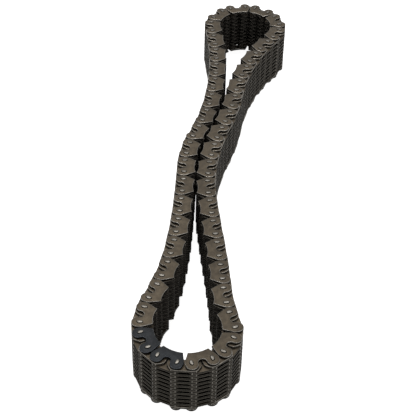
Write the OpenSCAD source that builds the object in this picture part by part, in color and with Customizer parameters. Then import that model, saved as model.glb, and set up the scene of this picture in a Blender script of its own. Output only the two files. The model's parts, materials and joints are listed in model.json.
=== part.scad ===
// Silent chain: an endless inverted-tooth chain with rocker joints, lying on its side
// as a loop with a narrow waist. The pins stand along Z, the loop is longest along Y,
// and the teeth point to the inside of the loop.
//
// Guide rows and tooth rows follow each other round the loop. A guide row is two guide
// plates on two long pins, with the inner toothed plates between them. A tooth row is one
// more toothed plate than that, on two short rocker pins. A long pin and a rocker pin roll
// on each other inside every pivot.

/* [Chain] */
// Distance from one pivot to the next
pitch = 9.525; // [6.35:0.005:25.4]
// Free width between the two guide plates
inner_width = 31.75; // [9.5:0.05:120]
// Toothed plates side by side in a tooth row
tooth_plates = 11; // [3:1:30]
// Side clearance between neighbouring plates
side_gap = 0.05; // [0.04:0.01:0.3]

/* [Toothed plate] */
// Gap between the round ends of two plates that follow each other
end_gap = 0.3; // [0.1:0.05:1]
// Depth of the tooth tips below the line of pivots
tooth_depth = 7.3; // [4:0.1:20]
// Lean of the tooth flanks, in degrees
flank_angle = 30; // [20:1:35]
// Rise of the round ends' middle above the line of pivots
back_rise = 0.4; // [0:0.05:3]
// Flat on the end of each tooth
tip_flat = 1.5; // [0.5:0.1:4]
// Depth of the floor of the crotch below the line of pivots
crotch_depth = 2.9; // [2:0.1:6]
// Radius of the crotch between the two teeth
crotch_r = 1.1; // [0.3:0.1:3]

/* [Guide plate] */
// Thickness of a guide plate
guide_t = 1.5; // [0.8:0.1:4]
// Radius of the lobe round each long pin
lobe_r = 3.55; // [2.5:0.05:8]
// Rise of the lobe's round top above the line of pivots
lobe_rise = 1.15; // [0:0.05:3]
// Width of the slot between the two lobes
slot_w = 4.5; // [2:0.1:10]
// Depth of the slot below the line of pivots
slot_depth = 1.1; // [0:0.1:3]
// Hollow of the inner edge
inner_hollow = 0.9; // [0.1:0.05:1.5]

/* [Pivot] */
// Radius of the round aperture in the toothed plates
aperture_r = 2.15; // [1.5:0.05:4]
// Clearance round a pin in its holes
pin_fit = 0.05; // [0.04:0.01:0.1]
// Radius of the rocking face of a pin
rocker_r = 3.2; // [2:0.1:8]
// Set-back of the rocking face from the pivot
rocker_gap = 0.09; // [0.05:0.01:0.2]
// Height of the pin's section, square to the chain
pin_h = 3.4; // [2:0.1:6]
// Length of a long pin outside each guide plate
pin_out = 0.4; // [0.1:0.05:2]
// End clearance of a rocker pin inside the guide plates
rocker_end_gap = 0.15; // [0.05:0.05:1]

/* [Loop] */
// Heading of the first row, in degrees from X
start_heading = 157; // [0:1:360]
// Rows from the first row to the left strand
near_left_rows = 2; // [2:1:12]
// Turns at the far bend
far_rows = 10; // [4:1:30]
// Rows from the right strand to the first row
near_right_rows = 4; // [2:1:12]
// Turn at each pivot of the far bend before closing, in degrees
far_turn_angle = -21.2; // [-27:0.1:0]
// Left strand: how many pivots turn alike, and by how many degrees each
left_turn_angles = [
    [2, -16.75], [2, -5.5], [4, 3.25], [4, 1.25], [4, 0.5],
    [4, -4.5], [4, 2.5], [4, 1.75], [4, 2], [2, 0.5]
];
// Right strand: how many pivots turn alike, and by how many degrees each
right_turn_angles = [
    [1, -8.5], [4, 3.25], [4, 3], [4, -2.5], [4, 2.5],
    [4, 3.5], [4, 0.25], [4, -0.75], [3, 3.75], [2, -22.5]
];

/* [View] */
// Part to draw

/* [Hidden] */
$fn = 64;
eps = pitch / 100;
layers = 2 * tooth_plates - 1;
layer = (inner_width - side_gap) / layers;
plate_t = layer - side_gap;
end_r = (pitch - end_gap) / 2;
inner_z = pin_out + guide_t;
outer_z = inner_z + inner_width;
total_h = outer_z + guide_t + pin_out;
pin_r = aperture_r - pin_fit;
pin_x = (pin_r + rocker_gap) / 2;
brown_steel = [0.45, 0.37, 0.3];
blued_steel = [0.2, 0.23, 0.3];
bright_steel = [0.75, 0.74, 0.72];

// A list with each turn of a strand written out
function spread(runs) = [for (r = runs) for (i = [1:r[0]]) r[1]];
// The sum of a list's items, which may be numbers or points
function total(v) = [for (x = v) 1] * v;
// The sums of a list's items before each of them
function sums(v, zero) = [for (i = 0, s = zero; i < len(v); s = s + v[i], i = i + 1) s];

left_turns = spread(left_turn_angles);
right_turns = spread(right_turn_angles);
near_pivots = near_left_rows + near_right_rows;
row_count = near_pivots + far_rows + len(left_turns) + len(right_turns);

// The turn at every pivot. far and right are added to the far bend and to the right strand,
// and the near bend takes what is left of the full turn.
function turns(far, right) =
    let (
        f = far_turn_angle + far,
        r = [for (t = right_turns) t + right],
        n = (-360 - total(left_turns) - total(r) - far_rows * f) / near_pivots
    )
    concat(
        [for (i = [1:near_left_rows]) n],
        left_turns,
        [for (i = [1:far_rows]) f],
        r,
        [for (i = [1:near_right_rows]) n]
    );
function headings(t) = sums(t, start_heading);
function steps(t) = [for (h = headings(t)) pitch * [cos(h), sin(h)]];
// How far the last pivot is from the first one
function miss(a) = total(steps(turns(a[0], a[1])));
// Newton's method: the two additions that close the loop
function closed(a, rounds) =
    rounds == 0 ? a :
    let (
        d = 0.01,
        e = miss(a),
        p = (miss([a[0] + d, a[1]]) - e) / d,
        q = (miss([a[0], a[1] + d]) - e) / d,
        det = p[0] * q[1] - p[1] * q[0]
    )
    closed([
        a[0] - (e[0] * q[1] - e[1] * q[0]) / det,
        a[1] - (p[0] * e[1] - p[1] * e[0]) / det
    ], rounds - 1);

fit = closed([0, 0], 8);
loop_turns = turns(fit[0], fit[1]);
heading = headings(loop_turns);
path = sums(steps(loop_turns), [0, 0]);

// The loop's outermost points are on the round ends of its plates
function ends_of(i) =
    let (u = [cos(heading[i]), sin(heading[i])], v = [-u[1], u[0]])
    i % 2 == 1 ? [for (x = [0, pitch]) [path[i] + x * u + back_rise * v, end_r]] :
    concat(
        [for (x = [0, pitch]) [path[i] + x * u + back_rise * v, end_r]],
        [for (x = [-pin_x, pitch + pin_x]) [path[i] + x * u + lobe_rise * v, lobe_r]]
    );
round_ends = [for (i = [0:row_count - 1]) each ends_of(i)];
low = [for (k = [0, 1]) min([for (e = round_ends) e[0][k] - e[1]])];
high = [for (k = [0, 1]) max([for (e = round_ends) e[0][k] + e[1]])];
centre = (low + high) / 2;

// Links: the rows that keep their shape together. In the bends each row is a link by itself,
// a guide link or a tooth link, and along the strands a double link is a guide row with the
// tooth row after it.
link_sizes = spread([[8, 1], [13, 2], [16, 1], [13, 2], [8, 1]]);
link_starts = sums(link_sizes, 0);

// The section of a pin, with its pivot at the origin and the pin on the +X side of it
module pin_section(extra) {
    intersection() {
        circle(r = pin_r + extra);
        translate([rocker_gap + rocker_r, 0]) circle(r = rocker_r + extra);
        square([2 * aperture_r, pin_h + 2 * extra], center = true);
    }
}

// Both pins of a row, with each one on the outer side of its pivot
module both_pins(extra) {
    mirror([1, 0]) pin_section(extra);
    translate([pitch, 0]) pin_section(extra);
}

// Where a flank that touches a circle of radius r at x reaches the depth d
function flank_x(x, r, d) = x - (r - d * sin(flank_angle)) / cos(flank_angle);
// The point where it touches the circle
function flank_top(x, r) = [x - r * cos(flank_angle), -r * sin(flank_angle)];

module toothed_outline() {
    tip_x = flank_x(0, end_r, tooth_depth + back_rise);
    top = flank_top(0, end_r) + [0, back_rise];
    difference() {
        union() {
            for (x = [0, pitch]) translate([x, back_rise]) circle(r = end_r);
            translate([0, back_rise - end_r / 2]) square([pitch, end_r * 3 / 2]);
            polygon([
                [0, back_rise], top, [tip_x, -tooth_depth], [pitch - tip_x, -tooth_depth],
                [pitch - top[0], top[1]], [pitch, back_rise]
            ]);
        }
        polygon([
            [pitch / 2 - crotch_r, -crotch_depth - crotch_r],
            [tip_x + tip_flat, -tooth_depth],
            [tip_x + tip_flat, -tooth_depth - eps],
            [pitch - tip_x - tip_flat, -tooth_depth - eps],
            [pitch - tip_x - tip_flat, -tooth_depth],
            [pitch / 2 + crotch_r, -crotch_depth - crotch_r]
        ]);
        translate([pitch / 2, -crotch_depth - crotch_r]) circle(r = crotch_r);
        circle(r = aperture_r);
        translate([pitch, 0]) circle(r = aperture_r);
    }
}

module guide_outline() {
    corner_x = flank_x(-pin_x, lobe_r, tooth_depth);
    top = flank_top(-pin_x, lobe_r);
    half = pitch / 2 - corner_x;
    hollow_r = (half * half + inner_hollow * inner_hollow) / (2 * inner_hollow);
    difference() {
        union() {
            for (x = [-pin_x, pitch + pin_x]) {
                translate([x, 0]) circle(r = lobe_r);
                translate([x, lobe_rise]) circle(r = lobe_r);
                translate([x - lobe_r, 0]) square([2 * lobe_r, lobe_rise]);
            }
            polygon([
                [-pin_x, 0], top, [corner_x, -tooth_depth], [pitch - corner_x, -tooth_depth],
                [pitch - top[0], top[1]], [pitch + pin_x, 0]
            ]);
        }
        translate([pitch / 2, slot_w / 2 - slot_depth]) circle(d = slot_w);
        translate([(pitch - slot_w) / 2, slot_w / 2 - slot_depth])
            square([slot_w, 2 * lobe_r]);
        translate([pitch / 2, inner_hollow - tooth_depth - hollow_r])
            circle(r = hollow_r);
        both_pins(pin_fit);
    }
}

module toothed_plate() {
    linear_extrude(plate_t) toothed_outline();
}

module guide_plate() {
    linear_extrude(guide_t) guide_outline();
}

module toothed_stack(first) {
    for (k = [first:2:layers - 1 - first])
        translate([0, 0, inner_z + side_gap + k * layer]) toothed_plate();
}

module lower_guide() {
    translate([0, 0, pin_out]) guide_plate();
}

module upper_guide() {
    translate([0, 0, outer_z]) guide_plate();
}

module guide_row(with_upper) {
    lower_guide();
    toothed_stack(1);
    if (with_upper) upper_guide();
    linear_extrude(total_h) both_pins(0);
}

module tooth_row() {
    toothed_stack(0);
    translate([0, 0, inner_z + rocker_end_gap])
        linear_extrude(inner_width - 2 * rocker_end_gap) both_pins(0);
}

// Puts a row's own frame at its place in the loop
module at_row(i) {
    translate([path[i][0] - centre[0], path[i][1] - centre[1], 0])
        rotate([0, 0, heading[i]]) children();
}

// The upper guide plates of the first row and the third row are blued, as nodes of their own
module link(k) {
    first = link_starts[k - 1];
    for (i = [first:first + link_sizes[k - 1] - 1])
        at_row(i) if (i % 2 == 0) guide_row(i > 2); else tooth_row();
}

module blued_plate_1() color(blued_steel) at_row(0) upper_guide();
module blued_plate_2() color(blued_steel) at_row(2) upper_guide();

module guide_link_01() color(brown_steel) link(1);
module tooth_link_02() color(brown_steel) link(2);
module guide_link_03() color(brown_steel) link(3);
module tooth_link_04() color(brown_steel) link(4);
module guide_link_05() color(brown_steel) link(5);
module tooth_link_06() color(brown_steel) link(6);
module guide_link_07() color(brown_steel) link(7);
module tooth_link_08() color(brown_steel) link(8);
module double_link_09() color(brown_steel) link(9);
module double_link_10() color(brown_steel) link(10);
module double_link_11() color(brown_steel) link(11);
module double_link_12() color(brown_steel) link(12);
module double_link_13() color(brown_steel) link(13);
module double_link_14() color(brown_steel) link(14);
module double_link_15() color(brown_steel) link(15);
module double_link_16() color(brown_steel) link(16);
module double_link_17() color(brown_steel) link(17);
module double_link_18() color(brown_steel) link(18);
module double_link_19() color(brown_steel) link(19);
module double_link_20() color(brown_steel) link(20);
module double_link_21() color(brown_steel) link(21);
module guide_link_22() color(brown_steel) link(22);
module tooth_link_23() color(brown_steel) link(23);
module guide_link_24() color(brown_steel) link(24);
module tooth_link_25() color(brown_steel) link(25);
module guide_link_26() color(brown_steel) link(26);
module tooth_link_27() color(brown_steel) link(27);
module guide_link_28() color(brown_steel) link(28);
module tooth_link_29() color(brown_steel) link(29);
module guide_link_30() color(brown_steel) link(30);
module tooth_link_31() color(brown_steel) link(31);
module guide_link_32() color(brown_steel) link(32);
module tooth_link_33() color(brown_steel) link(33);
module guide_link_34() color(brown_steel) link(34);
module tooth_link_35() color(brown_steel) link(35);
module guide_link_36() color(brown_steel) link(36);
module tooth_link_37() color(brown_steel) link(37);
module double_link_38() color(brown_steel) link(38);
module double_link_39() color(brown_steel) link(39);
module double_link_40() color(brown_steel) link(40);
module double_link_41() color(brown_steel) link(41);
module double_link_42() color(brown_steel) link(42);
module double_link_43() color(brown_steel) link(43);
module double_link_44() color(brown_steel) link(44);
module double_link_45() color(brown_steel) link(45);
module double_link_46() color(brown_steel) link(46);
module double_link_47() color(brown_steel) link(47);
module double_link_48() color(brown_steel) link(48);
module double_link_49() color(brown_steel) link(49);
module double_link_50() color(brown_steel) link(50);
module guide_link_51() color(brown_steel) link(51);
module tooth_link_52() color(brown_steel) link(52);
module guide_link_53() color(brown_steel) link(53);
module tooth_link_54() color(brown_steel) link(54);
module guide_link_55() color(brown_steel) link(55);
module tooth_link_56() color(brown_steel) link(56);
module guide_link_57() color(brown_steel) link(57);
module tooth_link_58() color(brown_steel) link(58);

guide_link_01();
tooth_link_02();
guide_link_03();
tooth_link_04();
guide_link_05();
tooth_link_06();
guide_link_07();
tooth_link_08();
double_link_09();
double_link_10();
double_link_11();
double_link_12();
double_link_13();
double_link_14();
double_link_15();
double_link_16();
double_link_17();
double_link_18();
double_link_19();
double_link_20();
double_link_21();
guide_link_22();
tooth_link_23();
guide_link_24();
tooth_link_25();
guide_link_26();
tooth_link_27();
guide_link_28();
tooth_link_29();
guide_link_30();
tooth_link_31();
guide_link_32();
tooth_link_33();
guide_link_34();
tooth_link_35();
guide_link_36();
tooth_link_37();
double_link_38();
double_link_39();
double_link_40();
double_link_41();
double_link_42();
double_link_43();
double_link_44();
double_link_45();
double_link_46();
double_link_47();
double_link_48();
double_link_49();
double_link_50();
guide_link_51();
tooth_link_52();
guide_link_53();
tooth_link_54();
guide_link_55();
tooth_link_56();
guide_link_57();
tooth_link_58();
blued_plate_1();
blued_plate_2();
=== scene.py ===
"""Looks of a silent chain: its plates and pins with rolled edges, and its steels."""
import json
import math
import bpy
import numpy as np
from mathutils import Matrix

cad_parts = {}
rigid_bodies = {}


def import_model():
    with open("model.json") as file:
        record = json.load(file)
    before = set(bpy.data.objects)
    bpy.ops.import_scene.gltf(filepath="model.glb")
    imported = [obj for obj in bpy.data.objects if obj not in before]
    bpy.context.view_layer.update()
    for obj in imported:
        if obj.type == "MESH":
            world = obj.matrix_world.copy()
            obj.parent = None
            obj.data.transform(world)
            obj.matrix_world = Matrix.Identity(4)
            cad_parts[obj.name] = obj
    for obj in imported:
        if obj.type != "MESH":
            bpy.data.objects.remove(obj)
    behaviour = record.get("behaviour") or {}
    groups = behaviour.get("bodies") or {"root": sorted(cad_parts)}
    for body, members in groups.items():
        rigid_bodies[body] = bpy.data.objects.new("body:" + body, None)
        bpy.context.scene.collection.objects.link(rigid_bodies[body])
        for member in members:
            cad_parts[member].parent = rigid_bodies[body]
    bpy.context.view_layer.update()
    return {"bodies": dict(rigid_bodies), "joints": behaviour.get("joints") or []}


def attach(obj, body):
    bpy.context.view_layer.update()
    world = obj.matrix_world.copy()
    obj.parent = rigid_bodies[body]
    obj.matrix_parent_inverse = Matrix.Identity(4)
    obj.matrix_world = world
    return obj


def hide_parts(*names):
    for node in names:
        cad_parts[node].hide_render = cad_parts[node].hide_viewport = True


bl_info = {
    "name": "Silent chain",
    "version": (1, 0, 0),
    "blender": (4, 5, 0),
    "location": "View3D > Sidebar > Silent chain",
    "description": "Plates, pins, steels and a plain studio for an inverted-tooth chain",
    "category": "Add Mesh",
}

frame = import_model()

MM = 0.001

# Distance from one pivot to the next, in millimetres
PITCH = 9.525

# The strands of the loop: how many pivots turn alike, and by how many degrees each
LEFT_RUNS = [
    [2, -16.75], [2, -5.5], [4, 3.25], [4, 1.25], [4, 0.5],
    [4, -4.5], [4, 2.5], [4, 1.75], [4, 2], [2, 0.5],
]
RIGHT_RUNS = [
    [1, -8.5], [4, 3.25], [4, 3], [4, -2.5], [4, 2.5],
    [4, 3.5], [4, 0.25], [4, -0.75], [3, 3.75], [2, -22.5],
]

# The heading of the first row in degrees, the rows of the near bend before the left strand and
# after the right one, and the rows of the far bend with their turn in degrees
START_HEADING = 157
NEAR_LEFT_ROWS = 2
NEAR_RIGHT_ROWS = 4
FAR_ROWS = 10
FAR_TURN = -21.2

# How many steps of Newton's method close the loop, and how small a turn tests a slope, in degrees
CLOSING_STEPS = 8
SMALL_TURN = 0.01

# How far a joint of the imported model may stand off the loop's pivots, in metres
PLACE_LIMIT = 1e-5

# A toothed plate's end above the pivots, as shares of the end's radius: its flat back reaches
# past the pivot, turns down at a corner, rubbed and painted with a glint, and falls faster than a
# circle
CORNER_SHARES = [[1, 0], [0.87, 0.3], [0.68, 0.62], [0.48, 0.865], [0.4, 0.91], [0, 1]]

# The points of its outline where the rubbed corner, with its painted glint, starts, at the right
# and at the left end
CORNER_GLINT_STARTS = [3, 7]

# A pin's domed end: the share of the free end that it takes, the share of the pin's half width
# that it draws in, and the angles of its rings
HEAD_SHARE = 0.95
DOME_SHARE = 0.3
DOME_ANGLES = [0, 30, 55, 75]

# How many steps each round stretch of an outline or an edge is drawn in
APERTURE_STEPS = 8
CROTCH_STEPS = 4
LOBE_STEPS = 14
SHOULDER_STEPS = 2
SLOT_STEPS = 8
SLOT_SIDE_STEPS = 2
HOLLOW_STEPS = 6
PIN_BACK_STEPS = 8
PIN_FACE_STEPS = 6
ROLL_STEPS = 2

# Edges that meet at more than this angle, in degrees, stay sharp
SHARP_ANGLE = 50

# Rows whose upper guide plate is blued, by their place in the loop
BLUED_ROWS = {0: "blued_plate_1", 2: "blued_plate_2"}

# Kinds of surface, which choose a face's steel: a plate's face, a guide plate's rolled edge,
# which is tumbled and painted with a highlight, a blanked wall, a pin, a face painted near black
# as the shade between plates, a tooth's flank painted dark as shade, the foot of a pin's head
# painted dark as shade, a toothed plate's rolled edge painted as a highlight, and its rubbed
# corner with a painted glint
FACE, EDGE_AND_HIGHLIGHT, WALL, PIN, DARK_SHADE, FLANK, HEAD_SHADE, TOOTH_EDGE_HIGHLIGHT, CORNER_AND_GLINT = range(9)

# How the steels vary: the part of the noise that parts two colours in patches, how much lighter
# or darker a single piece is, how much glossier or duller the grain is, and how deep the grain
# is as a share of its size
PATCH_FROM, PATCH_TO = 0.36, 0.62
PIECE_SPREAD = 0.12
GLOSS_SPREAD = 0.12
GRAIN_DEPTH_SHARE = 0.2

# A blanked wall, from 0 at its lower face to 1 at its upper face: where the burnished part gives
# way to the torn one, which is also painted dark as shade, where the upper rim's painted highlight
# starts, and how far each edge is rounded. The rounding is as deep as WALL_ROUND, in millimetres
TORN_FROM, TORN_TO = 0.3, 0.45
RIM_HIGHLIGHT_FROM, RIM_HIGHLIGHT_TO = 0.8, 0.9
ROUNDED_SHARE = 0.2
WALL_ROUND = 0.25


def linear(code):
    """The linear colour of an sRGB hex code."""
    srgb = np.array([int(code[i:i + 2], 16) for i in (1, 3, 5)]) / 255
    low, high = srgb / 12.92, ((srgb + 0.055) / 1.055) ** 2.4
    return tuple(float(c) for c in np.where(srgb <= 0.04045, low, high))


def length(name, value, description):
    """A size in metres, given in millimetres."""
    return bpy.props.FloatProperty(
        name=name, description=description, default=value * MM, min=0, precision=5, unit="LENGTH"
    )


def colour(name, code, description):
    """A colour, given as an sRGB hex code."""
    return bpy.props.FloatVectorProperty(
        name=name, description=description, default=linear(code), subtype="COLOR", min=0, max=1
    )


class ChainSizes(bpy.types.PropertyGroup):
    """Sizes of the chain's plates and pins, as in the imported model."""

    pitch: length("Pitch", PITCH, "Distance from one pivot to the next")
    inner_width: length("Inner width", 31.75, "Free width between the guide plates")
    side_gap: length("Side gap", 0.05, "Side clearance between neighbouring plates")
    tooth_plates: bpy.props.IntProperty(
        name="Tooth plates", description="Toothed plates in a tooth row", default=11, min=3
    )
    end_gap: length("End gap", 0.3, "Gap between round ends that follow each other")
    tooth_depth: length("Tooth depth", 7.3, "Depth of the tooth tips below the pivots")
    back_rise: length("Back rise", 0.4, "Rise of the round ends' middle above the pivots")
    tip_flat: length("Tip flat", 1.5, "Flat on the end of each tooth")
    crotch_depth: length("Crotch depth", 2.9, "Depth of the crotch floor below the pivots")
    crotch_radius: length("Crotch radius", 1.1, "Radius between the two teeth")
    flank_angle: bpy.props.FloatProperty(
        name="Flank angle", description="Lean of the tooth flanks", default=math.radians(30),
        subtype="ANGLE", unit="ROTATION",
    )
    guide_thickness: length("Guide thickness", 1.5, "Thickness of a guide plate")
    lobe_radius: length("Lobe radius", 3.55, "Radius round each long pin")
    lobe_rise: length("Lobe rise", 1.15, "Rise of the lobe's round top")
    slot_depth: length("Slot depth", 1.1, "Depth of the slot below the pivots")
    inner_hollow: length("Inner hollow", 0.9, "Hollow of the guide plate's inner edge")
    rolled_edge: length("Rolled edge", 0.28, "Radius of a guide plate's tumbled edge")
    aperture_radius: length("Aperture radius", 2.15, "Radius of the toothed plates' apertures")
    pin_fit: length("Pin fit", 0.05, "Clearance round a pin in its holes")
    rocker_radius: length("Rocker radius", 3.2, "Radius of a pin's rocking face")
    rocker_gap: length("Rocker gap", 0.09, "Set-back of the rocking face from the pivot")
    pin_height: length("Pin height", 3.4, "Height of a pin's section")
    pin_out: length("Pin end", 0.4, "Length of a long pin outside a guide plate")
    head_spread: length("Head spread", 0.22, "Spread of a peened pin head over the plate")
    rocker_end_gap: length("Rocker end gap", 0.15, "End clearance of a rocker pin")


class ChainFinish(bpy.types.PropertyGroup):
    """Colours of the chain's steels and of the studio."""

    browned: colour("Browned face", "#484034", "Oil-browned face of a guide plate")
    browned_dark: colour("Browned face, dark", "#3C352B", "Thicker oxide in its patches")
    # Paler than the face, partly because tumbling thins the oxide and partly as a painted highlight on
    # the rolled edges
    edge: colour("Tumbled edge", "#84807A", "Rolled edge where tumbling thinned the oxide")
    edge_dark: colour("Tumbled edge, dark", "#615E58", "Edge with more oxide left on it")
    # Painted highlight on the outermost toothed plates' rolled edges
    painted_edge_highlight: colour("Rubbed edge", "#837E76", "Toothed plate's edge, rubbed bright by the guides")
    sheared: colour("Sheared wall", "#5F5A52", "Burnished part of a blanked plate's wall")
    # Only fine lines of a flank keep this colour, the upper one a painted highlight; the rest of the
    # flank is painted dark as shade
    flank: colour("Tooth flank", "#726D66", "Flank of a tooth, dark with worked-in oil")
    # Painted shade: near black for the faces between the plates and a guide plate's wall band
    painted_shade: colour("Oil-wet face", "#0E0D0B", "Face between two plates, dark with chain oil")
    # The torn part's own dark, made near black as painted shade too; the same colour paints the shade
    # of the flanks and round the pin heads
    torn_and_shade: colour("Torn wall", "#100F0D", "Rough part of a blanked plate's wall")
    # Painted highlight: the upper rim of every blanked wall is painted pale, as if lit from above
    rim_highlight: colour("Worn rim", "#8F897E", "Upper rim of a blanked wall, rubbed pale")
    blued: colour("Blued face", "#1D1F21", "Blue oxide of the two marker plates")
    blued_dark: colour("Blued face, dark", "#141619", "Deeper blue in its patches")
    # Paler than the blue face, partly rubbed blue and partly a painted highlight on the rolled edge
    blued_edge: colour("Blued edge", "#4D5055", "Rolled edge of a marker plate, rubbed a little")
    pin: colour("Pin steel", "#66635E", "Ground and peened pin steel")
    pin_dark: colour("Pin steel, stained", "#48453F", "Oil stain on a pin's end")
    floor: colour("Floor", "#F2F2F2", "Pale studio floor")


def arc(x, y, radius, start, end, steps):
    """An arc's points: the centre plus the radius times the cosine and sine of even angles."""
    angle = np.radians(np.linspace(start, end, steps + 1))
    return np.column_stack([x + radius * np.cos(angle), y + radius * np.sin(angle)])


def inset(outline, distance):
    """A closed outline moved inwards: every point goes along the sum of the two edge normals
    beside it, over one plus their dot product, so that both edges move by the distance."""
    edge = np.roll(outline, -1, 0) - outline
    normal = np.column_stack([-edge[:, 1], edge[:, 0]]) / np.linalg.norm(edge, axis=1)[:, None]
    before = np.roll(normal, 1, 0)
    lean = 1 + (normal * before).sum(1)
    return outline + distance * (normal + before) / lean[:, None]


def rings(outline, profile):
    """A wall's grid of points: the outline at each profile point, moved inwards by its inset and
    lifted to its height."""
    return np.stack([
        np.column_stack([inset(outline, back), np.full(len(outline), height)])
        for back, height in profile
    ])


def band(count, size, first):
    """Quads of a wall of rings: point j, its neighbour, and the two above them."""
    i, j = np.meshgrid(np.arange(count - 1), np.arange(size), indexing="ij")
    a = first + i * size + j
    b = first + i * size + (j + 1) % size
    return np.stack([a, b, b + size, a + size], -1).reshape(-1, 4)


def rolled(thickness, radius):
    """A plate's edge as insets and heights: a quarter circle up from the lower face, the wall,
    and a quarter circle on to the upper face."""
    turn = np.linspace(0, math.pi / 2, ROLL_STEPS + 1)
    back, rise = radius * (1 - np.sin(turn)), radius * (1 - np.cos(turn))
    lower = list(zip(back, rise))
    return lower + [(b, thickness - r) for b, r in reversed(lower)]


def flank_x(x, radius, depth, angle):
    """Where a flank that touches a circle at x reaches a depth."""
    return x - (radius - depth * math.sin(angle)) / math.cos(angle)


def end_radius(sizes):
    """Radius of a toothed plate's round ends."""
    return (sizes.pitch - sizes.end_gap) / 2


def layer_height(sizes):
    """Height of one layer of toothed plates, with its side clearance."""
    return (sizes.inner_width - sizes.side_gap) / (2 * sizes.tooth_plates - 1)


def toothed_outline(sizes):
    """A toothed plate's outline, anticlockwise from its right end: the two ends' corners with a
    flat back between them, two flanks, two tips and a round crotch."""
    pitch, radius, depth, rise = sizes.pitch, end_radius(sizes), sizes.tooth_depth, sizes.back_rise
    lean = math.degrees(sizes.flank_angle)
    tip = flank_x(0, radius, depth + rise, sizes.flank_angle)
    crotch = sizes.crotch_depth + sizes.crotch_radius
    corner = radius * np.array(CORNER_SHARES)
    return np.vstack([
        corner + [pitch, rise],
        corner[::-1] * [-1, 1] + [0, rise],
        arc(0, rise, radius, 180, 180 + lean, 1)[1:],
        [[tip, -depth], [tip + sizes.tip_flat, -depth]],
        arc(pitch / 2, -crotch, sizes.crotch_radius, 180, 0, CROTCH_STEPS),
        [[pitch - tip - sizes.tip_flat, -depth], [pitch - tip, -depth]],
        arc(pitch, rise, radius, -lean, 0, 1)[:-1],
    ])


def guide_outline(sizes):
    """A guide plate's outline, anticlockwise from its right end: two lobes with a half ellipse
    for the slot between them, two flanks and a shallow arc for the inner edge."""
    pitch, radius, depth = sizes.pitch, sizes.lobe_radius, sizes.tooth_depth
    lean = math.degrees(sizes.flank_angle)
    out = pin_offset(sizes)
    right, left = pitch + out, -out
    corner = flank_x(left, radius, depth, sizes.flank_angle)
    half = pitch / 2 - corner
    hollow = (half ** 2 + sizes.inner_hollow ** 2) / (2 * sizes.inner_hollow)
    open_angle = math.degrees(math.asin(half / hollow))
    reach, drop = half_slot(sizes), sizes.lobe_rise + sizes.slot_depth
    at_pivots = math.degrees(math.asin(sizes.lobe_rise / drop))
    turn = np.radians(np.concatenate([
        np.linspace(0, -at_pivots, SLOT_SIDE_STEPS + 1)[1:],
        np.linspace(-at_pivots, at_pivots - 180, SLOT_STEPS + 1)[1:],
        np.linspace(at_pivots - 180, -180, SLOT_SIDE_STEPS + 1)[1:-1],
    ]))
    slot = np.column_stack([
        pitch / 2 + reach * np.cos(turn), sizes.lobe_rise + drop * np.sin(turn),
    ])
    return np.vstack([
        [[right + radius, 0]],
        arc(right, sizes.lobe_rise, radius, 0, 180, LOBE_STEPS),
        slot,
        arc(left, sizes.lobe_rise, radius, 0, 180, LOBE_STEPS),
        arc(left, 0, radius, 180, 180 + lean, SHOULDER_STEPS),
        [[corner, -depth]],
        arc(pitch / 2, sizes.inner_hollow - depth - hollow, hollow,
            90 + open_angle, 90 - open_angle, HOLLOW_STEPS)[1:-1],
        [[pitch - corner, -depth]],
        arc(right, 0, radius, -lean, 0, SHOULDER_STEPS)[:-1],
    ])


def half_slot(sizes):
    """Half the width of the slot, which ends where the lobes start."""
    return sizes.pitch / 2 + pin_offset(sizes) - sizes.lobe_radius


def pin_offset(sizes):
    """How far a long pin's middle stands outside its pivot."""
    return (sizes.aperture_radius - sizes.pin_fit + sizes.rocker_gap) / 2


def pin_outline(sizes, extra, side):
    """A pin's section, anticlockwise: the aperture's arc on its outer side, the rocking face's
    arc towards the pivot, and a flat above and below. The right end of a row has it on the +X
    side of the pivot, and the left end has it mirrored."""
    outer = sizes.aperture_radius - sizes.pin_fit + extra
    face, half = sizes.rocker_radius + extra, sizes.pin_height / 2 + extra
    centre = sizes.rocker_gap + sizes.rocker_radius
    a, b = (math.degrees(math.asin(half / r)) for r in (outer, face))
    points = np.vstack([
        arc(0, 0, outer, -a, a, PIN_BACK_STEPS),
        arc(centre, 0, face, 180 - b, 180 + b, PIN_FACE_STEPS),
    ])
    if side > 0:
        return points + [sizes.pitch, 0]
    return points[::-1] * [-1, 1]


class Shape:
    """A closed mesh put together from walls and flat faces, to be copied to many rows."""

    def __init__(self):
        self.points, self.through, self.faces, self.flat, self.kinds = [], [], [], [], []
        self.count = 0

    def wall(self, outline, profile, kinds, toothed=False):
        """Adds a wall and returns the numbers of its lowest and its highest ring. There is one
        kind of surface for each band between two rings. On a toothed plate, the quads below the
        line of pivots are flanks instead, painted dark as shade, and those at the ends' corners are
        rubbed and carry a painted glint."""
        grid = rings(outline, profile)
        heights = np.array([height for _, height in profile])
        share = (heights - heights.min()) / np.ptp(heights)
        first, size = self.count, len(outline)
        self.points.append(grid.reshape(-1, 3))
        self.through.append(np.repeat(share, size))
        quads = band(len(profile), size, first)
        self.faces += [list(q) for q in quads]
        self.flat += [False] * len(quads)
        quad_kinds = np.repeat(kinds, size).reshape(-1, size)
        if toothed:
            # Below the pivots the flanks take a steel painted dark as shade, and the ends' corners one
            # with a painted glint
            quad_kinds[:, outline[:, 1] < 0] = FLANK
            quad_kinds[:, CORNER_GLINT_STARTS] = CORNER_AND_GLINT
        self.kinds += list(quad_kinds.ravel())
        self.count += len(profile) * size
        return first + np.arange(size), first + (len(profile) - 1) * size + np.arange(size)

    def cap(self, ring, kind=FACE):
        """Adds a flat face through a ring of point numbers."""
        self.faces.append([int(n) for n in ring])
        self.flat.append(True)
        self.kinds.append(kind)


def chain(ring, start, end):
    """The points of a ring from one to another, going forwards round it."""
    n = len(ring)
    return ring[(start + np.arange((end - start) % n + 1)) % n]


def nearest(outline, x, y):
    """The number of the outline's point nearest to a place."""
    return int(np.argmin(((outline - [x, y]) ** 2).sum(1)))


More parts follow.
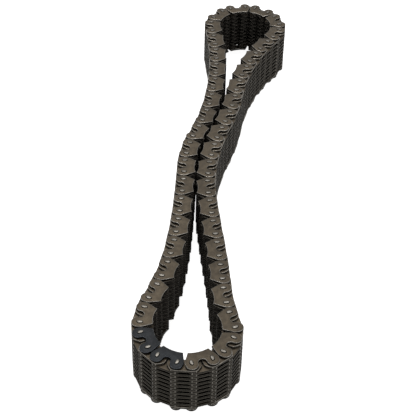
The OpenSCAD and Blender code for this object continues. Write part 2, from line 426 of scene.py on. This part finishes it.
def toothed_plate(sizes, roll=0, face_kind=FACE):
    """A toothed plate with its two apertures. Each face is two polygons that meet on the line of
    pivots. It comes nearly nine hundred times, so it has only a few dozen faces, and only the
    outermost plates of a tooth row have a tumbled edge, whose radius is `roll`."""
    shape = Shape()
    outline = toothed_outline(sizes)
    pitch, radius, end = sizes.pitch, sizes.aperture_radius, end_radius(sizes)
    thickness = layer_height(sizes) - sizes.side_gap
    profile = [(0, 0), (0, thickness)]
    if roll:
        # The rolled bands are painted bright as a highlight
        edge_kinds = [TOOTH_EDGE_HIGHLIGHT, TOOTH_EDGE_HIGHLIGHT, WALL, TOOTH_EDGE_HIGHLIGHT, TOOTH_EDGE_HIGHLIGHT]
        outer = shape.wall(outline, rolled(thickness, roll), edge_kinds, toothed=True)
    else:
        outer = shape.wall(outline, profile, [WALL], toothed=True)
    # apertures run clockwise, so that their walls face the pins
    holes = [
        shape.wall(arc(x, 0, radius, 180, -180, APERTURE_STEPS)[:-1], profile, [WALL])
        for x in (0, pitch)
    ]
    half = APERTURE_STEPS // 2
    right, left = nearest(outline, pitch + end, 0), nearest(outline, -end, 0)
    for top in (0, 1):
        ring, one, two = outer[top], holes[0][top], holes[1][top]
        upper = [chain(ring, right, left), chain(one, 0, half), chain(two, 0, half)]
        lower = [chain(ring, left, right), chain(two, half, 0), chain(one, half, 0)]
        for parts in (upper, lower):
            face = np.concatenate(parts)
            shape.cap(face if top else face[::-1], face_kind)
    return shape


def guide_plate(sizes):
    """A guide plate with tumbled edges and its two pin holes. Each face is three polygons: the
    two lobes above the line of pivots, and the rest below it."""
    shape = Shape()
    outline = guide_outline(sizes)
    pitch, out, radius = sizes.pitch, pin_offset(sizes), sizes.lobe_radius
    profile = rolled(sizes.guide_thickness, sizes.rolled_edge)
    # The rolled bands take the tumbled edge with its painted highlight, and the wall band between them
    # is painted near black as shade
    outer = shape.wall(outline, profile, [EDGE_AND_HIGHLIGHT, EDGE_AND_HIGHLIGHT, DARK_SHADE, EDGE_AND_HIGHLIGHT, EDGE_AND_HIGHLIGHT])
    hole_profile = [(0, 0), (0, sizes.guide_thickness)]
    sections = [pin_outline(sizes, sizes.pin_fit, side)[::-1] for side in (-1, 1)]
    holes = [shape.wall(section, hole_profile, [WALL]) for section in sections]
    # the leftmost and the rightmost point of each hole, where the faces' borders meet it
    marks = [(int(np.argmin(s[:, 0])), int(np.argmax(s[:, 0]))) for s in sections]
    # the two points of the slot that are nearest to the line of pivots
    level = np.abs(outline[:, 1])
    slot = [n for n in np.argsort(level) if abs(outline[n, 0] - pitch / 2) < half_slot(sizes)]
    slot_left, slot_right = sorted(slot[:2], key=lambda n: outline[n, 0])
    right, left = nearest(outline, pitch + out + radius, 0), nearest(outline, -out - radius, 0)
    for top in (0, 1):
        ring, one, two = outer[top], holes[0][top], holes[1][top]
        (a, b), (c, d) = marks
        faces = [
            [chain(ring, right, slot_right), chain(two, c, d)],
            [chain(ring, slot_left, left), chain(one, a, b)],
            [chain(ring, left, right), chain(two, d, c), chain(ring, slot_right, slot_left),
             chain(one, b, a)],
        ]
        for parts in faces:
            face = np.concatenate(parts)
            shape.cap(face if top else face[::-1])
    return shape


def pins(sizes, bottom, top, head, spread=0):
    """Both pins of a row, each a section carried from its lower end to its upper end. The ends
    are low domes: insets and drops that follow a quarter of an ellipse. A peened end spreads
    over the plate that it holds, and the steep parts of its head are painted dark as shade."""
    shape = Shape()
    turn = np.radians(DOME_ANGLES)
    width = (sizes.aperture_radius - sizes.rocker_gap) * DOME_SHARE + spread
    dome = [(width * (1 - math.cos(t)) - spread, head * math.sin(t)) for t in turn]
    shaft = [(0, bottom + head), (0, top - head)] if spread else []
    lower = [(back, bottom + head - rise) for back, rise in reversed(dome)]
    upper = [(back, top - head + rise) for back, rise in dome]
    profile = lower + shaft + upper
    if spread:
        # The steep bands of each head are painted dark as shade
        kinds = [PIN, HEAD_SHADE, HEAD_SHADE, HEAD_SHADE, PIN, HEAD_SHADE, HEAD_SHADE, HEAD_SHADE, PIN]
    else:
        kinds = [PIN] * (len(profile) - 1)
    for side in (-1, 1):
        low, high = shape.wall(pin_outline(sizes, 0, side), profile, kinds)
        shape.cap(low[::-1], PIN)
        shape.cap(high, PIN)
    return shape


def each_turn(runs):
    """A list with each turn of a strand written out."""
    return [turn for count, turn in runs for _ in range(count)]


def loop():
    """The places and headings of the rows. Each row starts where the last one ended, a pitch on
    along its heading. Two small additions, found by Newton's method, close the loop: one to
    every turn of the far bend and one to every turn of the right strand. The near bend takes
    what is left of the full turn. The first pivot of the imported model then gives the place."""
    left, right = np.array(each_turn(LEFT_RUNS)), np.array(each_turn(RIGHT_RUNS))
    near = NEAR_LEFT_ROWS + NEAR_RIGHT_ROWS

    def walk(extra):
        far, strand = FAR_TURN + extra[0], right + extra[1]
        rest = (-360 - left.sum() - strand.sum() - FAR_ROWS * far) / near
        turns = np.concatenate([
            np.full(NEAR_LEFT_ROWS, rest), left, np.full(FAR_ROWS, far), strand,
            np.full(NEAR_RIGHT_ROWS, rest),
        ])
        heading = START_HEADING + np.concatenate([[0], np.cumsum(turns)[:-1]])
        angle = np.radians(heading)
        step = PITCH * MM * np.column_stack([np.cos(angle), np.sin(angle)])
        return heading, np.vstack([[0, 0], np.cumsum(step, 0)])

    extra = np.zeros(2)
    for _ in range(CLOSING_STEPS):
        miss = walk(extra)[1][-1]
        slope = np.column_stack([
            (walk(extra + SMALL_TURN * np.eye(2)[k])[1][-1] - miss) / SMALL_TURN for k in (0, 1)
        ])
        extra = extra - np.linalg.solve(slope, miss)
    heading, path = walk(extra)
    pivot = {j["name"]: j["pos_m"][:2] for j in frame["joints"]}["pivot_01"]
    return heading, path[:-1] + np.array(pivot) - path[1]


HEADING, PATH = loop()


def link_rows():
    """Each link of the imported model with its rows: one row, or two in a double link. Every
    joint has to stand where a link after the first one starts."""
    links, row = [], 0
    for name in sorted(frame["bodies"], key=lambda n: int(n[-2:])):
        count = 2 if name.startswith("double") else 1
        links.append((name, list(range(row, row + count))))
        row += count
    if row != len(HEADING):
        raise RuntimeError(f"the links hold {row} rows, and the loop has {len(HEADING)}")
    joints = sorted((j["name"], j["pos_m"][:2]) for j in frame["joints"])
    starts = PATH[[rows[0] for _, rows in links[1:]]]
    miss = np.abs(np.array([place for _, place in joints]) - starts).max()
    if miss > PLACE_LIMIT:
        raise RuntimeError(f"the packed model's joints stand {miss:.6f} m off the loop's pivots")
    return links


def copies(shape, rows, heights):
    """The shape's points at every row and height, turned by the row's heading and moved to its
    place: one array of points for each copy."""
    points = np.vstack(shape.points)
    placed = []
    for row in rows:
        a = math.radians(HEADING[row])
        turn = np.array([[math.cos(a), math.sin(a)], [-math.sin(a), math.cos(a)]])
        flat = points[:, :2] @ turn + PATH[row]
        placed += [np.column_stack([flat, points[:, 2] + height]) for height in heights[row % 2]]
    return placed


def make_piece(name, parts, rows, materials, body, nodes):
    """One object with copies of its parts, each a shape and its heights in guide rows and in
    tooth rows. Its mesh has the attributes `through`, which runs from 0 on a plate's lower face
    to 1 on its upper face, and `shade`, one value for each copy. The materials go to the faces
    by their kind of surface."""
    points, through, shade, corners, lengths, flat, kinds = [], [], [], [], [], [], []
    chance = np.random.default_rng(int(rows[0]) + 1)
    for shape, heights in parts:
        for placed in copies(shape, rows, heights):
            first = sum(len(p) for p in points)
            points.append(placed)
            through += shape.through
            shade.append(np.full(len(placed), chance.uniform()))
            corners.append(np.concatenate(shape.faces) + first)
            lengths += [len(f) for f in shape.faces]
            flat += shape.flat
            kinds += shape.kinds
    points, corners = np.vstack(points), np.concatenate(corners)
    mesh = bpy.data.meshes.new(name)
    mesh.vertices.add(len(points))
    mesh.vertices.foreach_set("co", points.ravel())
    mesh.loops.add(len(corners))
    mesh.loops.foreach_set("vertex_index", corners)
    mesh.polygons.add(len(lengths))
    mesh.polygons.foreach_set("loop_start", np.concatenate([[0], np.cumsum(lengths)[:-1]]))
    mesh.polygons.foreach_set("use_smooth", ~np.array(flat))
    used = sorted(set(kinds))
    for kind in used:
        mesh.materials.append(materials[kind])
    mesh.polygons.foreach_set("material_index", np.searchsorted(used, kinds))
    for label, values in (("through", through), ("shade", shade)):
        attribute = mesh.attributes.new(label, "FLOAT", "POINT")
        attribute.data.foreach_set("value", np.concatenate(values))
    mesh.update()
    mesh.validate()
    mesh.set_sharp_from_angle(angle=math.radians(SHARP_ANGLE))
    piece = bpy.data.objects.new(name, mesh)
    bpy.context.scene.collection.objects.link(piece)
    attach(piece, body)
    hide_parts(*nodes)
    return piece


def add(tree, kind, inputs, **settings):
    """Adds a node with its settings. Inputs, by name or number, get a link or a value."""
    node = tree.nodes.new(kind)
    for key, value in settings.items():
        setattr(node, key, value)
    for key, value in inputs.items():
        if isinstance(value, bpy.types.NodeSocket):
            tree.links.new(value, node.inputs[key])
        else:
            node.inputs[key].default_value = value
    return node


def steel(name, base, dark, metallic, roughness, patch, grain, bump, sheen=0.5, torn_and_shade=None, rim=None):
    """A steel with oxide or oil patches of one size and a fine grain of another, both in
    millimetres. The patches change its colour, and the grain its gloss and its surface. On a
    plate's wall, which has a torn colour and a rim colour too, `through` parts the burnished lower
    third from the torn rest, which is also painted shade, and from the upper rim, which is a
    painted highlight, and rounds both edges."""
    material = bpy.data.materials.get(name)
    if material:
        return material
    material = bpy.data.materials.new(name)
    material.use_nodes = True
    tree = material.node_tree
    tree.nodes.clear()
    place = add(tree, "ShaderNodeTexCoord", {}).outputs["Object"]
    noise = {"Vector": place, "Scale": 1 / (patch * MM), "Detail": 4, "Roughness": 0.6}
    clouds = add(tree, "ShaderNodeTexNoise", noise).outputs[0]
    noise = {"Vector": place, "Scale": 1 / (grain * MM), "Detail": 2, "Roughness": 0.7}
    speck = add(tree, "ShaderNodeTexNoise", noise).outputs[0]
    patches = add(
        tree, "ShaderNodeMapRange", {"Value": clouds, "From Min": PATCH_FROM, "From Max": PATCH_TO}
    )
    colour = add(
        tree, "ShaderNodeMix", {0: patches.outputs[0], 6: (*dark, 1), 7: (*base, 1)}, data_type="RGBA"
    ).outputs[2]
    height, depth = speck, grain * MM * GRAIN_DEPTH_SHARE
    if torn_and_shade:
        through = add(tree, "ShaderNodeAttribute", {}, attribute_name="through").outputs["Fac"]
        # The torn part darkens the wall, as painted shade too, and the upper rim is a painted highlight
        for start, end, next_colour in ((TORN_FROM, TORN_TO, torn_and_shade), (RIM_HIGHLIGHT_FROM, RIM_HIGHLIGHT_TO, rim)):
            reached = add(
                tree, "ShaderNodeMapRange", {"Value": through, "From Min": start, "From Max": end}
            ).outputs[0]
            colour = add(
                tree, "ShaderNodeMix", {0: reached, 6: colour, 7: (*next_colour, 1)}, data_type="RGBA"
            ).outputs[2]
        rise = add(
            tree, "ShaderNodeMapRange", {"Value": through, "From Max": ROUNDED_SHARE},
            interpolation_type="SMOOTHERSTEP",
        ).outputs[0]
        fall = add(
            tree, "ShaderNodeMapRange",
            {"Value": through, "From Min": 1, "From Max": 1 - ROUNDED_SHARE},
            interpolation_type="SMOOTHERSTEP",
        ).outputs[0]
        height = add(tree, "ShaderNodeMath", {0: rise, 1: fall}, operation="MULTIPLY").outputs[0]
        depth = WALL_ROUND * MM
    shade = add(tree, "ShaderNodeAttribute", {}, attribute_name="shade").outputs["Fac"]
    vary = add(
        tree, "ShaderNodeMapRange",
        {"Value": shade, "To Min": 1 - PIECE_SPREAD, "To Max": 1 + PIECE_SPREAD},
    )
    toned = add(tree, "ShaderNodeHueSaturation", {"Value": vary.outputs[0], "Color": colour})
    gloss = add(
        tree, "ShaderNodeMapRange",
        {"Value": speck, "To Min": roughness - GLOSS_SPREAD, "To Max": roughness + GLOSS_SPREAD},
    )
    relief = add(tree, "ShaderNodeBump", {"Height": height, "Strength": bump, "Distance": depth})
    shader = add(tree, "ShaderNodeBsdfPrincipled", {
        "Base Color": toned.outputs[0], "Metallic": metallic, "Roughness": gloss.outputs[0],
        "Normal": relief.outputs[0], "Specular IOR Level": sheen,
    })
    add(tree, "ShaderNodeOutputMaterial", {"Surface": shader.outputs[0]})
    return material


def steels(finish):
    """The chain's materials by kind of surface. The patches are 1.2 to 3 mm wide, and the grain
    of 0.4 to 0.5 mm is coarser than the real one, so that it shows in the render."""
    materials = {}
    # Case-hardened strip, blanked, tumbled and oil-browned: a satin brown face
    materials[FACE] = steel(
        "oil_browned_plate", finish.browned, finish.browned_dark, metallic=0.8, roughness=0.55,
        patch=2.6, grain=0.5, bump=0.25,
    )
    # Tumbling thins the oxide on the rolled edge, so it is paler than the face, and its colour is
    # lighter still as a painted highlight along the rims
    materials[EDGE_AND_HIGHLIGHT] = steel(
        "tumbled_plate_edge_and_highlight", finish.edge, finish.edge_dark, metallic=0.9, roughness=0.22,
        patch=2.0, grain=0.4, bump=0.15,
    )
    # The punch burnishes a third of a blanked wall and tears the rest, which is also painted near
    # black as shade. The upper rim is a painted highlight, pale, so that each plate of a pack draws
    # a fine line
    materials[WALL] = steel(
        "blanked_plate_wall", finish.sheared, finish.sheared, metallic=0.0, roughness=0.7,
        patch=2.0, grain=0.4, bump=1.0, sheen=0.06, torn_and_shade=finish.torn_and_shade, rim=finish.rim_highlight,
    )
    # Ground bearing steel: the brightest metal of the chain, in small glints
    materials[PIN] = steel(
        "ground_pin_steel", finish.pin, finish.pin_dark, metallic=1.0, roughness=0.38,
        patch=1.2, grain=0.4, bump=0.1,
    )
    # Painted shade: the inner faces between the plates and the middle band of a guide plate's wall
    # are painted near black, where shade falls
    materials[DARK_SHADE] = steel(
        "plate_painted_shade", finish.painted_shade, finish.painted_shade, metallic=0.0, roughness=0.8,
        patch=2.0, grain=0.4, bump=0.2, sheen=0.03,
    )
    # Inside the loop the teeth face each other, so their flanks are painted near black as shade;
    # only fine lines of the paler flank colour stand out, at the lower third and, as a painted
    # highlight, at the upper rim
    materials[FLANK] = steel(
        "tooth_flank_painted_shade", finish.flank, finish.flank, metallic=0.0, roughness=0.85,
        patch=2.0, grain=0.4, bump=1.0, sheen=0.04, torn_and_shade=finish.torn_and_shade, rim=finish.flank,
    )
    # Upset by the press, its head's steep sides are painted dark as shade: a dark ring round the
    # bright head
    materials[HEAD_SHADE] = steel(
        "pin_head_painted_shade", finish.torn_and_shade, finish.torn_and_shade, metallic=0.0, roughness=0.6,
        patch=1.2, grain=0.4, bump=0.2, sheen=0.1,
    )
    # Painted highlight: the outermost toothed plates' rolled edges are painted bright
    materials[TOOTH_EDGE_HIGHLIGHT] = steel(
        "tooth_edge_painted_highlight", finish.painted_edge_highlight, finish.edge_dark, metallic=0.9, roughness=0.28,
        patch=2.0, grain=0.4, bump=0.15,
    )
    # The ends' corners rub on what the chain runs along: a dot of paler steel on every plate, which
    # is also a painted glint
    materials[CORNER_AND_GLINT] = steel(
        "corner_wear_and_painted_glint", finish.edge_dark, finish.flank, metallic=0.8, roughness=0.35,
        patch=1.5, grain=0.4, bump=0.15,
    )
    return materials


def make_pieces(context, suffix, parts):
    """One piece for every link that has rows with such parts."""
    materials = steels(context.scene.chain_finish)
    for name, rows in link_rows():
        chosen = [r for r in rows if any(heights[r % 2] for _, heights in parts)]
        if chosen:
            make_piece(f"{name}_{suffix}", parts, chosen, materials, name, [name])


def guide_heights(sizes):
    """Heights of the lower faces of a lower and an upper guide plate."""
    return sizes.pin_out, sizes.pin_out + sizes.guide_thickness + sizes.inner_width


class CHAIN_OT_toothed_plates(bpy.types.Operator):
    """Toothed plates: ten in a guide row, on the odd layers, and eleven in a tooth row"""

    bl_idname = "silent_chain.toothed_plates"
    bl_label = "Toothed plates"

    def execute(self, context):
        sizes = context.scene.chain_sizes
        first = sizes.pin_out + sizes.guide_thickness + sizes.side_gap
        last = 2 * sizes.tooth_plates - 2
        heights = first + layer_height(sizes) * np.arange(last + 1)
        # The inner toothed plates' faces are painted near black as shade
        inner, next_outer = toothed_plate(sizes, face_kind=DARK_SHADE), toothed_plate(sizes)
        outermost = toothed_plate(sizes, roll=sizes.rolled_edge)
        make_pieces(context, "toothed_plates", [
            (inner, [list(heights[3:last - 1:2]), list(heights[2:last:2])]),
            (next_outer, [[heights[1], heights[last - 1]], []]),
            (outermost, [[], [heights[0], heights[last]]]),
        ])
        return {"FINISHED"}


class CHAIN_OT_guide_plates(bpy.types.Operator):
    """Guide plates of every guide row, without the two blued ones"""

    bl_idname = "silent_chain.guide_plates"
    bl_label = "Guide plates"

    def execute(self, context):
        sizes, materials = context.scene.chain_sizes, steels(context.scene.chain_finish)
        lower, upper = guide_heights(sizes)
        shape = guide_plate(sizes)
        for name, rows in link_rows():
            for row in (r for r in rows if r % 2 == 0):
                heights = [lower] if row in BLUED_ROWS else [lower, upper]
                make_piece(
                    f"{name}_guide_plates", [(shape, [heights])], [row], materials, name,
                    [name],
                )
        return {"FINISHED"}


class CHAIN_OT_blued_plates(bpy.types.Operator):
    """The two blued guide plates, which show where the chain was closed"""

    bl_idname = "silent_chain.blued_plates"
    bl_label = "Blued plates"

    def execute(self, context):
        sizes, finish = context.scene.chain_sizes, context.scene.chain_finish
        parts = [(guide_plate(sizes), [[guide_heights(sizes)[1]]])]
        materials = steels(finish)
        # Heated in nitrate salts after blanking: a deep slate blue face
        materials[FACE] = steel(
            "salt_blued_plate", finish.blued, finish.blued_dark, metallic=0.8, roughness=0.5,
            patch=3.0, grain=0.5, bump=0.25,
        )
        # Handling rubs the blue a little on the rolled edge, and its paler colour there is also a
        # painted highlight along the rim
        materials[EDGE_AND_HIGHLIGHT] = steel(
            "salt_blued_edge_and_highlight", finish.blued_edge, finish.blued, metallic=0.9, roughness=0.26,
            patch=2.0, grain=0.4, bump=0.15,
        )
        for name, rows in link_rows():
            for row in (r for r in rows if r in BLUED_ROWS):
                make_piece(
                    f"{BLUED_ROWS[row]}_face", parts, [row], materials, name,
                    [BLUED_ROWS[row]],
                )
        return {"FINISHED"}


class CHAIN_OT_long_pins(bpy.types.Operator):
    """Long pins, two in a guide row, with peened heads outside the guide plates"""

    bl_idname = "silent_chain.long_pins"
    bl_label = "Long pins"

    def execute(self, context):
        sizes = context.scene.chain_sizes
        top = guide_heights(sizes)[1] + sizes.guide_thickness + sizes.pin_out
        shape = pins(sizes, 0, top, HEAD_SHARE * sizes.pin_out, sizes.head_spread)
        make_pieces(context, "long_pins", [(shape, [[0], []])])
        return {"FINISHED"}


class CHAIN_OT_rocker_pins(bpy.types.Operator):
    """Rocker pins, two in a tooth row, between the guide plates"""

    bl_idname = "silent_chain.rocker_pins"
    bl_label = "Rocker pins"

    def execute(self, context):
        sizes = context.scene.chain_sizes
        gap = sizes.rocker_end_gap
        bottom = sizes.pin_out + sizes.guide_thickness + gap
        shape = pins(sizes, bottom, bottom + sizes.inner_width - 2 * gap, gap)
        make_pieces(context, "rocker_pins", [(shape, [[], [0]])])
        return {"FINISHED"}


# The camera, worked out from the places of the pin heads in the photograph: degrees of tilt,
# roll and turn, its place in millimetres, its focal length in pixels of the photograph's width,
# the width of its sensor in millimetres, and how near and far it sees, in metres
VIEW_TILT = 40.97
VIEW_ROLL = -1.57
VIEW_TURN = 0.62
VIEW_PLACE = (-1.22, -564.37, 475.31)
VIEW_FOCUS = 1096.4
PHOTO_WIDTH = 416
SENSOR = 36
NEAR_LIMIT, FAR_LIMIT = 0.05, 20

# Half the side of the floor and its drop below the chain, in metres, and the light of the
# studio: the glow of the floor where it is seen, the world's light, and each lamp's place, size
# and watts
FLOOR_HALF = 3.0
FLOOR_DROP = 0.0002
FLOOR_GLOW = 0.9
WORLD_LIGHT = 0.32
LAMPS = {
    "key_lamp": ((-0.1, 0.6, 1.35), 0.7, 11),
    "fill_lamp": ((0.9, -0.9, 1.0), 0.9, 2),
}


class CHAIN_OT_studio(bpy.types.Operator):
    """A pale floor, soft light from all round with two soft lamps, and the camera"""

    bl_idname = "silent_chain.studio"
    bl_label = "Studio"

    def execute(self, context):
        scene = context.scene
        self.camera(scene)
        self.floor(scene)
        self.lamps(scene)
        self.world(scene)
        scene.view_settings.view_transform = "Standard"
        return {"FINISHED"}

    def camera(self, scene):
        """Sets the camera at its place, tilted down and rolled about its line of sight."""
        tilt, roll, turn = (math.radians(a) for a in (VIEW_TILT, VIEW_ROLL, VIEW_TURN))
        right = np.array([math.cos(turn), math.sin(turn), 0])
        level = np.array([-math.sin(turn), math.cos(turn), 0])
        up = np.array([0, 0, 1])
        forward = level * math.cos(tilt) - up * math.sin(tilt)
        down = -level * math.sin(tilt) - up * math.cos(tilt)
        across = math.cos(roll) * right + math.sin(roll) * down
        below = -math.sin(roll) * right + math.cos(roll) * down
        data = bpy.data.cameras.new("camera")
        data.sensor_width = SENSOR
        data.lens = VIEW_FOCUS / PHOTO_WIDTH * SENSOR
        data.clip_start, data.clip_end = NEAR_LIMIT, FAR_LIMIT
        camera = bpy.data.objects.new("camera", data)
        scene.collection.objects.link(camera)
        matrix = np.eye(4)
        matrix[:3, 0], matrix[:3, 1], matrix[:3, 2] = across, -below, -forward
        matrix[:3, 3] = np.array(VIEW_PLACE) * MM
        camera.matrix_world = Matrix(matrix.tolist())
        scene.camera = camera

    def seen(self, tree):
        """1 for the rays that see the background directly, in metal or through glass."""
        path = add(tree, "ShaderNodeLightPath", {})
        most = path.outputs["Is Camera Ray"]
        for name in ("Is Glossy Ray", "Is Transmission Ray"):
            most = add(
                tree, "ShaderNodeMath", {0: most, 1: path.outputs[name]}, operation="MAXIMUM"
            ).outputs[0]
        return most

    def floor(self, scene):
        """A painted board floor: matt white, with its own faint glow where it is seen, so that
        it reads white and still keeps the chain's shadow."""
        corners = np.array([[-1, -1, 0], [1, -1, 0], [1, 1, 0], [-1, 1, 0]]) * FLOOR_HALF
        mesh = bpy.data.meshes.new("floor")
        mesh.from_pydata((corners - [0, 0, FLOOR_DROP]).tolist(), [], [(0, 1, 2, 3)])
        board = bpy.data.objects.new("floor", mesh)
        scene.collection.objects.link(board)
        material = bpy.data.materials.new("painted_floor")
        material.use_nodes = True
        tree = material.node_tree
        tree.nodes.clear()
        paint = add(tree, "ShaderNodeBsdfDiffuse", {"Color": (*scene.chain_finish.floor, 1)}).outputs[0]
        glow = add(tree, "ShaderNodeEmission", {"Strength": FLOOR_GLOW}).outputs[0]
        plus = add(tree, "ShaderNodeAddShader", {0: paint, 1: glow}).outputs[0]
        pick = add(tree, "ShaderNodeMixShader", {0: self.seen(tree), 1: paint, 2: plus})
        add(tree, "ShaderNodeOutputMaterial", {"Surface": pick.outputs[0]})
        mesh.materials.append(material)

    def lamps(self, scene):
        """Soft round lamps, each facing the chain's middle."""
        for name, (place, size, power) in LAMPS.items():
            data = bpy.data.lights.new(name, "AREA")
            data.shape, data.size, data.energy = "DISK", size, power
            lamp = bpy.data.objects.new(name, data)
            scene.collection.objects.link(lamp)
            back = np.array(place) / np.linalg.norm(place)
            side = np.cross([0, 0, 1], back)
            side = side / np.linalg.norm(side)
            matrix = np.eye(4)
            matrix[:3, 0], matrix[:3, 1], matrix[:3, 2] = side, np.cross(back, side), back
            matrix[:3, 3] = place
            lamp.matrix_world = Matrix(matrix.tolist())

    def world(self, scene):
        """An even pale world: white where it is seen, and dimmer as a light."""
        world = bpy.data.worlds.new("studio_world")
        scene.world = world
        world.use_nodes = True
        tree = world.node_tree
        tree.nodes.clear()
        even = {"Color": (1, 1, 1, 1), "Strength": WORLD_LIGHT}
        soft = add(tree, "ShaderNodeBackground", even).outputs[0]
        white = add(tree, "ShaderNodeBackground", {"Color": (1, 1, 1, 1), "Strength": 1}).outputs[0]
        pick = add(tree, "ShaderNodeMixShader", {0: self.seen(tree), 1: soft, 2: white})
        add(tree, "ShaderNodeOutputWorld", {"Surface": pick.outputs[0]})


OPERATORS = (
    CHAIN_OT_toothed_plates, CHAIN_OT_guide_plates, CHAIN_OT_blued_plates, CHAIN_OT_long_pins,
    CHAIN_OT_rocker_pins, CHAIN_OT_studio,
)


class CHAIN_PT_panel(bpy.types.Panel):
    """The chain's operators in the sidebar."""

    bl_label = "Silent chain"
    bl_idname = "CHAIN_PT_panel"
    bl_space_type = "VIEW_3D"
    bl_region_type = "UI"
    bl_category = "Silent chain"

    def draw(self, context):
        for operator in OPERATORS:
            self.layout.operator(operator.bl_idname)
        for group in (context.scene.chain_sizes, context.scene.chain_finish):
            for key in group.__annotations__:
                self.layout.prop(group, key)


CLASSES = (ChainSizes, ChainFinish, *OPERATORS, CHAIN_PT_panel)


def register():
    for cls in CLASSES:
        bpy.utils.register_class(cls)
    bpy.types.Scene.chain_sizes = bpy.props.PointerProperty(type=ChainSizes)
    bpy.types.Scene.chain_finish = bpy.props.PointerProperty(type=ChainFinish)


def unregister():
    del bpy.types.Scene.chain_finish
    del bpy.types.Scene.chain_sizes
    for cls in reversed(CLASSES):
        bpy.utils.unregister_class(cls)


def main():
    """Registers the add-on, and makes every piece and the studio."""
    register()
    bpy.ops.silent_chain.studio()
    bpy.ops.silent_chain.toothed_plates()
    bpy.ops.silent_chain.guide_plates()
    bpy.ops.silent_chain.blued_plates()
    bpy.ops.silent_chain.long_pins()
    bpy.ops.silent_chain.rocker_pins()


if __name__ == "__main__":
    main()
